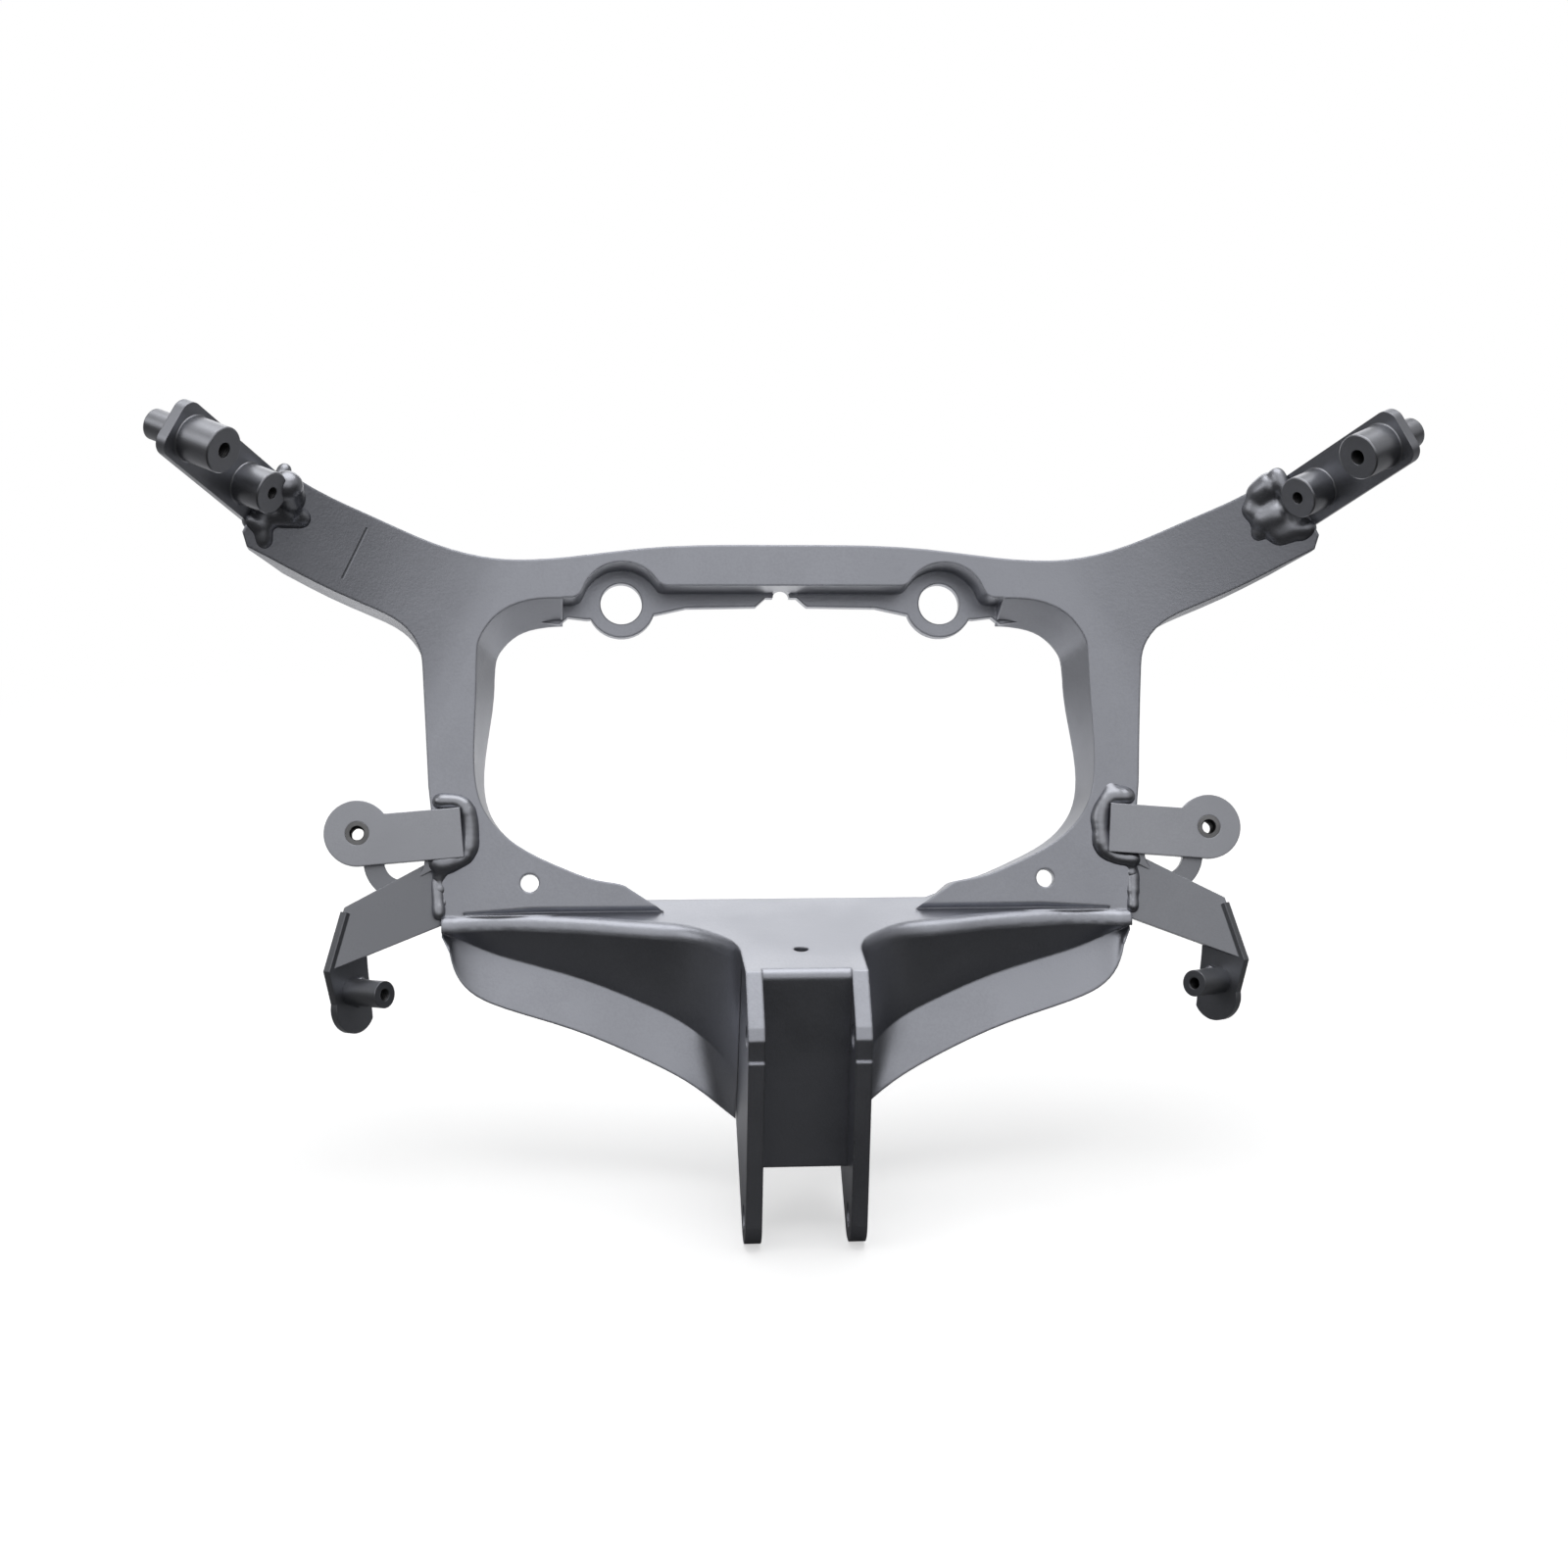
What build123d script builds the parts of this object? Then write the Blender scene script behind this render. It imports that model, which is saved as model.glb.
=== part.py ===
from build123d import *
from math import cos, radians, sin, tan
import os

os.makedirs("parts", exist_ok=True)

# Frame: origin on the upper head bolt's axis at mid-width, +X across, +Y away from the rider, +Z up

# Head clevis
EAR_GAP = 29.6
EAR_THICKNESS = 5.5
BOLT_PITCH = 64.0
BOLT_HOLE = 8.2
EAR_END_RADIUS = 9.0
EAR_LEDGE_DROP = 5.5
EAR_LEDGE = 0.8
EAR_REAR_SLOPE = 37.0
EAR_CORNER_SETBACK = 2.2
EAR_CORNER_TOP_Z = 5.5
EAR_CORNER_LOW_Z = 2.0
WALL_FRONT_Y = 8.0
WALL_THICKNESS = 6.0
WALL_BOTTOM_Z = -50.0
WALL_TOP_RADIUS = 3.3
RIB_REAR_Y = 62.0
RIB_REAR_HEIGHT = 6.0
RIB_SLOPE_Y = 38.0

# Flat deck
DECK_TOP_Z = 20.0
DECK_THICKNESS = 5.0
DECK_REAR_Y = 82.3
DECK_REAR_HALF = 50.0
DECK_REAR_STEP_X = 56.0
DECK_LIP_GAP = 1.5
DECK_WALL_GAP = 1.0
SCREW_HOLE = 5.0
SCREW_HOLE_Y = 29.0

# Cast beams: station x, lip y, fold y, fold drop, lower edge y, lower edge drop
LIP_RADIUS = 5.0
BEAM_WALL = 4.0
BEAM_BACK_GAP = 0.5
BEAM_FOLD_STEP = 1.5
BEAM_STATIONS = [
    (20.5, 24.0, 33.0, 45.0, 38.0, 65.5),
    (24.0, 36.5, 40.5, 44.5, 41.0, 63.5),
    (29.0, 43.0, 48.5, 41.5, 43.5, 60.0),
    (38.0, 50.7, 57.0, 37.0, 46.0, 54.0),
    (52.0, 55.0, 61.5, 31.0, 51.0, 48.0),
    (71.0, 60.0, 65.0, 24.0, 54.0, 40.0),
    (90.0, 63.8, 67.0, 18.5, 56.5, 34.0),
    (104.0, 65.2, 68.5, 14.5, 58.0, 29.5),
    (113.0, 64.2, 68.7, 10.5, 59.0, 24.0),
    (118.8, 63.3, 68.0, 7.6, 62.0, 12.0),
]
BEAM_END = (121.6, 63.4, 68.0, 6.0, 66.0, 7.4)
RING_SINK = 0.5

# Ring: leaning frame round the instruments, sizes measured in its own front plane
RING_FRONT_Y = 67.05
RING_LEAN = 22.9
RING_DEPTH = 19.6
WEB_THICKNESS = 4.0
RING_TOP = [
    (0, 131.5), (51.2, 130.1), (95.8, 126.0), (119.5, 129.3), (143.6, 138.0), (163.9, 146.1),
    (174.0, 151.8),
]
ARM_END = [(188.4, 134.0), (185.8, 124.6)]
RING_SIDE = [(185.8, 124.6), (162.5, 113.9), (146.8, 107.7), (133.2, 100.2), (129.0, 93.4), (127.9, 84.0)]
RING_FOOT = [(126.1, 45.4), (122.9, 16.2), (121.9, 1.2), (121.9, -6.0)]
ARM_ANGLE = 25.0
SWEEP_START = 140.0
SWEEP_END = 219.5
SWEEP = 26.0
SWEEP_POWER = 1.5
SWEEP_OVERRUN = 1.06
SWEEP_STEPS = 5
BAND_INNER = -60.0
BAND_HALF_HEIGHT = 260.0

# Groove under the ring's foot, which runs out towards the post
GROOVE_TOP_S = 2.6
GROOVE_DEPTH = 1.5
GROOVE_FROM_X = 45.0
GROOVE_TO_X = 114.0

# Hollows at the back, seen from the front: post with its arm, and the middle of the top bar
POCKET_INNER = [
    (70, 5), (70, 8.6), (87, 15.5), (101, 23), (110, 33), (114, 43),
    (114.6, 56), (113.6, 72), (113, 90), (109, 103), (98, 115),
]
POCKET_TOP = [
    (79, 116.5), (79, 124.2), (95.8, 122.2), (119.5, 125.6), (143.6, 135.1), (160, 142),
    (168, 146), (180, 131), (179.5, 126),
]
POCKET_OUTER = [
    (161.5, 118.6), (145.2, 112.6), (131, 105), (125.6, 96), (124, 80), (122.4, 46),
    (119.3, 16), (118.3, 5),
]
POCKET_BAR_X = 41.0
POCKET_BAR_TOP = (126.6, 128.0)

# Ring opening, front edge and rear edge of its drafted wall
OPEN_TOP_FRONT = 112.4
OPEN_TOP_REAR = 105.3
OPEN_CORNER_FRONT = [(82, 112.4), (93.9, 110.9), (103.8, 105.0), (108.6, 97.5), (109.6, 88.0)]
OPEN_CORNER_REAR = [(79, 105.3), (86.5, 104.7), (95.6, 101.6), (101.3, 95.8), (103.3, 86.0)]
OPEN_SIDE_FRONT = [
    (109.6, 88.0), (110.0, 70.0), (110.3, 53.0), (107.6, 38.5), (99.0, 27.2), (87.3, 19.8),
    (77.0, 15.2), (66.0, 11.6), (57.0, 9.2),
]
OPEN_SIDE_REAR = [
    (103.3, 86.0), (105.1, 68.0), (107.2, 51.0), (105.3, 38.0), (98.6, 28.6), (87.0, 21.2),
    (77.0, 16.6), (66.0, 12.8), (57.5, 10.2),
]
TIP_FRONT_X = 44.5
TIP_REAR_X = 46.5

# Instrument rings
INSTRUMENT_X = 57.9
INSTRUMENT_S = 113.1
INSTRUMENT_HOLE = 15.0
INSTRUMENT_EAR_RADIUS = 12.35
RECESS_DEPTH = 15.6
RECESS_RADIUS = 14.9
RECESS_CORNER_RADIUS = 4.5
RECESS_S = 110.4
BAR_UNDERSIDE_S = 116.7
PLATE_TOP_S = 119.3
FLANGE_S = 111.7
FLANGE_MIDDLE = [(0, 115.4), (5.6, 115.4), (9.3, 112.1), (34.5, 111.7), (45.9, 109.2), (50, 109.2)]
FLANGE_OUTER = [(70.3, 107.4), (77.1, 108.2), (80.3, 105.6), (88, 106.5)]
CROWN_RIM = 1.0
NOTCH_S = 115.4
NOTCH_RADIUS = 3.0

# Small hole in each lower web
SMALL_HOLE = 6.4
SMALL_HOLE_X = 91.1
SMALL_HOLE_S = 11.2

# Mirror plates: face centre of the outer boss, then plate, bosses and peg
BOSS_FACE = (187.5, 57.7, 182.7)
BOSS_AXIS = (-0.783, -0.594, -0.185)
PLATE_ALONG = (-0.413, 0.719, -0.559)
PLATE_THICKNESS = 4.0
PLATE_WIDTH = 20.0
PLATE_OVERHANG = 10.5
PLATE_REACH = 58.0
PLATE_CORNER = 5.0
OUTER_BOSS_DIAMETER = 15.5
OUTER_BOSS_LENGTH = 14.0
OUTER_BOSS_HOLE = 5.2
INNER_BOSS_DIAMETER = 14.5
INNER_BOSS_LENGTH = 12.0
INNER_BOSS_HOLE = 4.2
BOSS_PITCH = 32.7
PEG_DIAMETER = 10.5
PEG_LENGTH = 14.0
PEG_CHAMFER = 0.8

# Side tabs
TAB_THICKNESS = 3.0
TAB_HEAD_X = 150.4
TAB_HEAD_S = 28.8
TAB_HEAD_RADIUS = 11.4
TAB_HEIGHT = 17.4
TAB_TILT = 4.5
TAB_INNER_X = 114.5
INSERT_DIAMETER = 8.2
INSERT_HOLE = 5.2
INSERT_LENGTH = 8.0

# Lower brackets: corners of the sheet, folded foot and standoff
SHEET_THICKNESS = 3.0
SHEET_UP_IN = (120.6, 80.9, 38.1)
SHEET_UP_OUT = (153.8, 61.2, 25.8)
SHEET_LOW_OUT = (159.7, 49.3, 6.6)
SHEET_LOW_IN = (120.6, 66.8, 17.1)
FOOT_NORMAL = (-0.739, -0.651, 0.176)
FOOT_NEAR = (9.5, 7.5)
FOOT_LOWEST = (16.3, 18.5)
FOOT_FAR = (8.5, 25.0)
FOOT_STEP = 1.2
FOOT_TOP = [(-7.3, 16.2), (-21.5, 9.0), (-21.5, 0.0)]
LOOP_X = 134.4
LOOP_S = 19.5
LOOP_INNER_RADIUS = 7.0
LOOP_OUTER_RADIUS = 14.0
LOOP_CUT = [(116, 20.5), (154, 1.0), (154, -20), (116, -20)]
STANDOFF_DIAMETER = 9.3
STANDOFF_HOLE = 4.2
STANDOFF_LENGTH = 16.0
STANDOFF_ACROSS = 12.5
STANDOFF_DOWN = 3.2

# Weld beads: the arm's in the mirror plate's frame with heights from the plate, the tab's on the ring's front
ARM_BEAD_RADIUS = 3.6
ARM_BEAD = [(44, -12, 2), (44, -4, 3), (46, 4, 2), (48, 11, 1)]
TAB_BEAD_RADIUS = 2.8
TAB_BEAD = [(121, 39.0), (113.5, 38.2), (112.3, 30), (114, 20.3), (121.5, 18.2)]
TAB_BEAD_HEIGHT = 1.0
BRACKET_BEAD_RADIUS = 2.6
BRACKET_BEAD = [(123.4, 79.0, 36.5), (123.0, 73.0, 28.5), (122.4, 67.2, 20.5)]
STANDOFF_BEAD_RADIUS = 1.6
STANDOFF_BEAD_TURNS = (200, 250, 300)
STANDOFF_BEAD_GAP = 0.4
STANDOFF_BEAD_HEIGHT = 0.6
BEAD_SIDES = 8
BEAD_OVERRUN = 0.7
BEAD_END_SIZE = 0.6
BEAD_JOINT_SIZE = 0.95

# Tools that only cut reach this far past what they cut
CUT_LENGTH = 20.0
CUT_SPAN = 300.0
CUT_DEPTH = 100.0

EAR_INNER_X = EAR_GAP / 2
EAR_OUTER_X = EAR_INNER_X + EAR_THICKNESS
EAR_FRONT_Y = -EAR_END_RADIUS
LEAN = radians(RING_LEAN)
RING_PLANE = Plane(origin=(0, RING_FRONT_Y, DECK_TOP_Z), x_dir=(1, 0, 0), z_dir=(0, -cos(LEAN), sin(LEAN)))


def both_sides(shape):
    return shape + mirror(shape, about=Plane.YZ)


# Side plate of the clevis with its rounded lower end
def ear():
    slope = radians(EAR_REAR_SLOPE)
    tangent = (EAR_END_RADIUS * sin(slope), -BOLT_PITCH - EAR_END_RADIUS * cos(slope))
    rear_low = (RIB_SLOPE_Y, tangent[1] + (RIB_SLOPE_Y - tangent[0]) * tan(slope))
    front = EAR_FRONT_Y + EAR_LEDGE
    side = Polyline(
        (WALL_FRONT_Y, DECK_TOP_Z),
        (front + EAR_CORNER_SETBACK, EAR_CORNER_TOP_Z),
        (front, EAR_CORNER_LOW_Z),
        (front, -EAR_LEDGE_DROP),
        (EAR_FRONT_Y, -EAR_LEDGE_DROP),
        (EAR_FRONT_Y, -BOLT_PITCH),
    )
    middle = radians(232)
    lowest = (EAR_END_RADIUS * cos(middle), -BOLT_PITCH + EAR_END_RADIUS * sin(middle))
    end = ThreePointArc((EAR_FRONT_Y, -BOLT_PITCH), lowest, tangent)
    rear = Polyline(
        tangent,
        rear_low,
        (RIB_REAR_Y, DECK_TOP_Z - RIB_REAR_HEIGHT),
        (RIB_REAR_Y, DECK_TOP_Z),
        (WALL_FRONT_Y, DECK_TOP_Z),
    )
    face = make_face(side.edges() + end.edges() + rear.edges())
    plate = extrude(Plane.YZ.offset(EAR_INNER_X).location * face, EAR_THICKNESS)
    drill = Pos(EAR_INNER_X + EAR_THICKNESS / 2, 0, 0) * Rot(0, 90, 0) * Cylinder(BOLT_HOLE / 2, CUT_LENGTH)
    return plate - drill - Pos(0, 0, -BOLT_PITCH) * drill


# Front wall between the ears, rounded over into the deck
def bridge_wall():
    height = DECK_TOP_Z - WALL_BOTTOM_Z
    wall = Pos(0, WALL_FRONT_Y, WALL_BOTTOM_Z) * Box(
        2 * EAR_INNER_X, WALL_THICKNESS, height, align=(Align.CENTER, Align.MIN, Align.MIN)
    )
    edge = wall.edges().filter_by(Axis.X).sort_by(Axis.Z)[-2:].sort_by(Axis.Y)[0]
    return fillet(edge, WALL_TOP_RADIUS)


# Flat deck, following the lip of both beams
def deck():
    lip = [(x, y + LIP_RADIUS + DECK_LIP_GAP) for x, y, *_ in BEAM_STATIONS]
    outer_x = RING_FOOT[-1][0]
    ring_rear = RING_FRONT_Y + RING_DEPTH / cos(LEAN)
    bend_y = WALL_FRONT_Y + WALL_TOP_RADIUS
    step_y = WALL_FRONT_Y + DECK_WALL_GAP
    right = [(0, bend_y), (EAR_INNER_X, bend_y), (EAR_INNER_X, step_y), (EAR_OUTER_X, step_y)] + lip
    right += [(outer_x, lip[-1][1]), (outer_x, ring_rear), (DECK_REAR_STEP_X, ring_rear)]
    right += [(DECK_REAR_HALF, DECK_REAR_Y), (0, DECK_REAR_Y)]
    face = make_face(Polyline(*right, close=True).edges())
    half = extrude(Plane.XY.offset(DECK_TOP_Z).location * face, -DECK_THICKNESS)
    hole = Pos(0, SCREW_HOLE_Y, DECK_TOP_Z) * Cylinder(SCREW_HOLE / 2, CUT_LENGTH)
    return both_sides(half) - hole


# One section of the beam: rounded lip, undercut web, fold and lower flange
def beam_section(x, lip, fold_y, fold, low_y, low):
    top = DECK_TOP_Z
    back = fold_y + BEAM_WALL + BEAM_BACK_GAP
    r = LIP_RADIUS
    middle = r * (1 - sin(radians(45)))
    arc = ThreePointArc((lip + r, top), (lip + middle, top - middle), (lip, top - r))
    rest = Polyline(
        (lip, top - r),
        (fold_y, top - fold),
        (low_y, top - low),
        (low_y + BEAM_WALL, top - low),
        (back, top - fold - BEAM_FOLD_STEP),
        (back, top),
        (lip + r, top),
    )
    return Plane.YZ.offset(x).location * make_face(arc.edges() + rest.edges())


def beam():
    body = loft([beam_section(*station) for station in BEAM_STATIONS])
    end = [beam_section(*station) for station in (BEAM_STATIONS[-1], BEAM_END)]
    return body + loft(end, ruled=True)


# Band in which the ring and its forward-swept arm lie, between two depths
def ring_band(front, back):
    angle = radians(ARM_ANGLE)
    plane = Plane(origin=(0, 0, 0), x_dir=(cos(angle), sin(angle), 0), z_dir=(sin(angle), -cos(angle), 0))
    shares = [SWEEP_OVERRUN * k / SWEEP_STEPS for k in range(SWEEP_STEPS + 1)]
    length = SWEEP_END - SWEEP_START
    curve = [(SWEEP_START + length * share, SWEEP * share**SWEEP_POWER) for share in shares]
    upper = Spline(*[(u, z - front) for u, z in curve], tangents=[(1, 0), (1, 0.5)])
    lower = Spline(*[(u, z - back) for u, z in curve], tangents=[(1, 0), (1, 0.5)])
    last = curve[-1]
    sides = Polyline((SWEEP_START, -back), (BAND_INNER, -back), (BAND_INNER, -front), (SWEEP_START, -front))
    end = Line((last[0], last[1] - front), (last[0], last[1] - back))
    face = make_face(upper.edges() + lower.edges() + sides.edges() + end.edges())
    return extrude(plane.location * face, BAND_HALF_HEIGHT, both=True)


def ring_half_outline():
    top = Spline(*RING_TOP, tangents=[(1, 0), (1, 0.7)])
    end = Polyline(RING_TOP[-1], *ARM_END)
    side = Spline(*RING_SIDE, tangents=[(-22.1, -9.3), (-1.0, -20.0)])
    foot = Polyline(RING_SIDE[-1], *RING_FOOT, (0, RING_FOOT[-1][1]), RING_TOP[0])
    return make_face(top.edges() + end.edges() + side.edges() + foot.edges())


# Wall of the opening, drafted inwards towards the rear
def opening_half():
    wires = []
    rows = (
        (0.6, OPEN_TOP_FRONT, OPEN_CORNER_FRONT, OPEN_SIDE_FRONT, TIP_FRONT_X),
        (-RING_DEPTH - 0.6, OPEN_TOP_REAR, OPEN_CORNER_REAR, OPEN_SIDE_REAR, TIP_REAR_X),
    )
    for z, top_s, corner, side, tip in rows:
        top = Line((0, top_s), corner[0])
        bend = Spline(*corner, tangents=[(1, 0), (0.05, -1)])
        post = Spline(*side, tangents=[(0, -1), (-0.7, -0.7)])
        tail = Polyline(side[-1], (tip, 1.0), (tip, -12.0), (0, -12.0), (0, top_s))
        face = make_face(top.edges() + bend.edges() + post.edges() + tail.edges())
        wires.append(Plane.XY.offset(z).location * face)
    return loft(wires, ruled=True)


# Hollow side of the casting behind the post, the arm and the top bar
def pocket_half():
    low, high = POCKET_BAR_TOP
    bar = [(-1, PLATE_TOP_S), (POCKET_BAR_X, PLATE_TOP_S), (POCKET_BAR_X, low), (-1, high)]
    main = POCKET_INNER + POCKET_TOP + POCKET_OUTER
    faces = [make_face(Polyline(*points, close=True).edges()) for points in (main, bar)]
    prisms = [extrude(Plane.XY.offset(2 * CUT_LENGTH).location * face, -4 * CUT_LENGTH) for face in faces]
    band = ring_band(WEB_THICKNESS, RING_DEPTH + 6)
    return [band & prism for prism in prisms]


# Recess in front of an instrument ring, with the underside of the bar on both sides of it
def recess_face():
    inner = Pos(-1, BAR_UNDERSIDE_S) * Rectangle(INSTRUMENT_X + 1, 12, align=(Align.MIN, Align.MAX))
    outer = Pos(INSTRUMENT_X, OPEN_TOP_FRONT) * Rectangle(
        OPEN_CORNER_REAR[0][0] - INSTRUMENT_X, 12, align=(Align.MIN, Align.MAX)
    )
    face = inner + outer + Pos(INSTRUMENT_X, RECESS_S) * Circle(RECESS_RADIUS)
    corners = []
    for side, level in ((-1, BAR_UNDERSIDE_S), (1, OPEN_TOP_FRONT)):
        reach = (RECESS_RADIUS**2 - (level - RECESS_S) ** 2) ** 0.5
        corners.append(face.vertices().sort_by_distance((INSTRUMENT_X + side * reach, level, 0))[0])
    return fillet(corners, RECESS_CORNER_RADIUS)


# Plate at the back of the top bar that carries the two instrument rings
def instrument_plate_half():
    top_s = PLATE_TOP_S + 1
    flange = [(0, top_s)] + FLANGE_MIDDLE + FLANGE_OUTER + [(FLANGE_OUTER[-1][0], top_s)]
    plate = make_face(Polyline(*flange, close=True).edges())
    plate += Pos(INSTRUMENT_X, INSTRUMENT_S) * Circle(INSTRUMENT_EAR_RADIUS)
    crown = Pos(INSTRUMENT_X, RECESS_S) * Circle(RECESS_RADIUS + CROWN_RIM)
    below = Pos(INSTRUMENT_X, FLANGE_S) * Rectangle(CUT_DEPTH, CUT_DEPTH, align=(Align.CENTER, Align.MAX))
    plate += crown - below
    return extrude(Plane.XY.offset(-RECESS_DEPTH).location * plate, -(RING_DEPTH - RECESS_DEPTH))


def ring():
    half = ring_band(0, RING_DEPTH) & extrude(Plane.XY.offset(60).location * ring_half_outline(), -120)
    half -= opening_half()
    half -= extrude(Plane.XY.offset(1).location * recess_face(), -(RING_DEPTH + 2))
    half -= pocket_half()
    half += instrument_plate_half()
    half -= Pos(INSTRUMENT_X, INSTRUMENT_S, -RECESS_DEPTH) * Cylinder(INSTRUMENT_HOLE / 2, 1.5 * CUT_LENGTH)
    half -= Pos(SMALL_HOLE_X, SMALL_HOLE_S, 0) * Cylinder(SMALL_HOLE / 2, CUT_LENGTH / 2)
    whole = both_sides(half)
    whole -= Pos(0, NOTCH_S, -RECESS_DEPTH) * Cylinder(NOTCH_RADIUS, CUT_LENGTH / 2)
    return RING_PLANE.location * whole


# Frame of a mirror plate: origin at the outer boss's face, x along the plate, z out of the face
def mirror_plane():
    return Plane(origin=BOSS_FACE, x_dir=PLATE_ALONG, z_dir=BOSS_AXIS)


# Space outboard of the mirror plate's inner face, where the arm is cut off
def beyond_plate():
    return mirror_plane().location * Pos(PLATE_REACH, 0, -OUTER_BOSS_LENGTH) * Box(
        60, 90, 60, align=(Align.CENTER, Align.CENTER, Align.MAX)
    )


# Undercut between the ring's foot and the deck
def groove():
    sections = []
    for x, shift in ((GROOVE_FROM_X, 0.0), (90.0, 0.0), (GROOVE_TO_X, -GROOVE_DEPTH)):
        rise = GROOVE_TOP_S * cos(LEAN)
        edge = RING_FRONT_Y + GROOVE_TOP_S * sin(LEAN) + shift
        points = [
            (edge + 0.02, DECK_TOP_Z + rise),
            (edge + GROOVE_DEPTH, DECK_TOP_Z - 0.02),
            (edge - 3, DECK_TOP_Z - 0.02),
            (edge - 3, DECK_TOP_Z + rise),
        ]
        sections.append(Plane.YZ.offset(x).location * make_face(Polyline(*points, close=True).edges()))
    return loft(sections, ruled=True)


def frame_casting():
    below_deck = Pos(0, 0, DECK_TOP_Z - RING_SINK) * Box(
        CUT_SPAN, CUT_SPAN, CUT_DEPTH, align=(Align.CENTER, Align.CENTER, Align.MAX)
    )
    body = ring() - below_deck - both_sides(groove())
    body += deck()
    body += both_sides(beam())
    body += both_sides(ear())
    body += bridge_wall()
    return body - both_sides(beyond_plate())


def mirror_plate():
    length = PLATE_OVERHANG + PLATE_REACH
    face = Pos((PLATE_REACH - PLATE_OVERHANG) / 2, 0) * Rectangle(length, PLATE_WIDTH)
    face = fillet(face.vertices().sort_by(Axis.X)[:2], PLATE_CORNER)
    front = -OUTER_BOSS_LENGTH
    plate = extrude(Plane.XY.offset(front).location * face, -PLATE_THICKNESS)
    return mirror_plane().location * plate


def boss(offset, diameter, length, hole):
    seat = -OUTER_BOSS_LENGTH
    standing = (Align.CENTER, Align.CENTER, Align.MIN)
    body = Pos(offset, 0, seat) * Cylinder(diameter / 2, length, align=standing)
    body = chamfer(body.edges().filter_by(GeomType.CIRCLE).sort_by(Axis.Z)[-1], 0.4)
    body -= Pos(offset, 0, seat + length) * Cylinder(hole / 2, 2 * length - 3)
    return mirror_plane().location * body


def peg():
    seat = -OUTER_BOSS_LENGTH - PLATE_THICKNESS
    hanging = (Align.CENTER, Align.CENTER, Align.MAX)
    body = Pos(0, 0, seat) * Cylinder(PEG_DIAMETER / 2, PEG_LENGTH, align=hanging)
    body = chamfer(body.edges().filter_by(GeomType.CIRCLE).sort_by(Axis.Z)[0], PEG_CHAMFER)
    return mirror_plane().location * body


# Tab on the front of the post, with a round head low on its arm, the arm rising towards the post
def tab():
    length = TAB_HEAD_X - TAB_INNER_X
    arm = Pos(0, -TAB_HEAD_RADIUS) * Rectangle(length, TAB_HEIGHT, align=(Align.MAX, Align.MIN))
    face = arm + Circle(TAB_HEAD_RADIUS) - Circle(INSERT_DIAMETER / 2)
    turned = Rot(0, 0, -TAB_TILT) * extrude(face, TAB_THICKNESS)
    return RING_PLANE.location * Pos(TAB_HEAD_X, TAB_HEAD_S) * turned


def tab_insert():
    face = Circle(INSERT_DIAMETER / 2) - Circle(INSERT_HOLE / 2)
    body = extrude(Plane.XY.offset(TAB_THICKNESS).location * face, -INSERT_LENGTH)
    return RING_PLANE.location * Pos(TAB_HEAD_X, TAB_HEAD_S) * body


# Bracket below the tab: slanting sheet, foot folded down its outer edge, and a loop behind the tab
def foot_plane():
    down = Vector(*SHEET_LOW_OUT) - Vector(*SHEET_UP_OUT)
    return Plane(origin=SHEET_LOW_OUT, x_dir=down, z_dir=FOOT_NORMAL).offset(FOOT_STEP)


def lower_bracket():
    low_out = Vector(*SHEET_LOW_OUT)
    up = Vector(*SHEET_UP_OUT) - low_out
    sheet_plane = Plane(origin=SHEET_LOW_OUT, x_dir=up, z_dir=up.cross(Vector(*SHEET_LOW_IN) - low_out))
    sheet_corners = (SHEET_LOW_OUT, SHEET_UP_OUT, SHEET_UP_IN, SHEET_LOW_IN)
    corners = [sheet_plane.to_local_coords(Vector(*corner)) for corner in sheet_corners]
    sheet_face = make_face(Polyline(*[(c.X, c.Y) for c in corners], close=True).edges())
    sheet = sheet_plane.location * extrude(sheet_face, -SHEET_THICKNESS)
    near, lowest, far = [(down, -across) for down, across in (FOOT_NEAR, FOOT_LOWEST, FOOT_FAR)]
    sides = Polyline(far, *[(down, -across) for down, across in FOOT_TOP], (0, 0), near)
    foot_face = make_face(sides.edges() + ThreePointArc(near, lowest, far).edges())
    foot = foot_plane().location * extrude(foot_face, -SHEET_THICKNESS)
    loop_face = Pos(LOOP_X, LOOP_S) * (Circle(LOOP_OUTER_RADIUS) - Circle(LOOP_INNER_RADIUS))
    loop_face -= Pos(LOOP_X, LOOP_S + 6) * Rectangle(60, 40, align=(Align.CENTER, Align.MIN))
    loop_face -= make_face(Polyline(*LOOP_CUT, close=True).edges())
    loop = RING_PLANE.location * extrude(loop_face, -SHEET_THICKNESS)
    return sheet + foot + loop


def standoff():
    body = extrude(Circle(STANDOFF_DIAMETER / 2), STANDOFF_LENGTH)
    body -= Pos(0, 0, STANDOFF_LENGTH) * Cylinder(STANDOFF_HOLE / 2, 2 * STANDOFF_LENGTH - 6)
    return foot_plane().location * Pos(STANDOFF_DOWN, -STANDOFF_ACROSS) * body


def biggest(shape):
    return max(shape.solids(), key=lambda solid: solid.volume)


# Weld bead: a chain of eight-sided lumps strung along a path, thickest in its middle
def bead(points, radius):
    body = None
    for start, end in zip(points, points[1:]):
        span = Vector(*end) - Vector(*start)
        plane = Plane(origin=start, z_dir=span)
        reach = BEAD_OVERRUN * radius
        sizes = (
            (-reach, BEAD_END_SIZE),
            (0, BEAD_JOINT_SIZE),
            (span.length / 2, 1.0),
            (span.length, BEAD_JOINT_SIZE),
            (span.length + reach, BEAD_END_SIZE),
        )
        sections = [Pos(0, 0, along) * RegularPolygon(size * radius, BEAD_SIDES) for along, size in sizes]
        piece = plane.location * loft(sections, ruled=True)
        body = piece if body is None else body + piece
    return body


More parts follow.
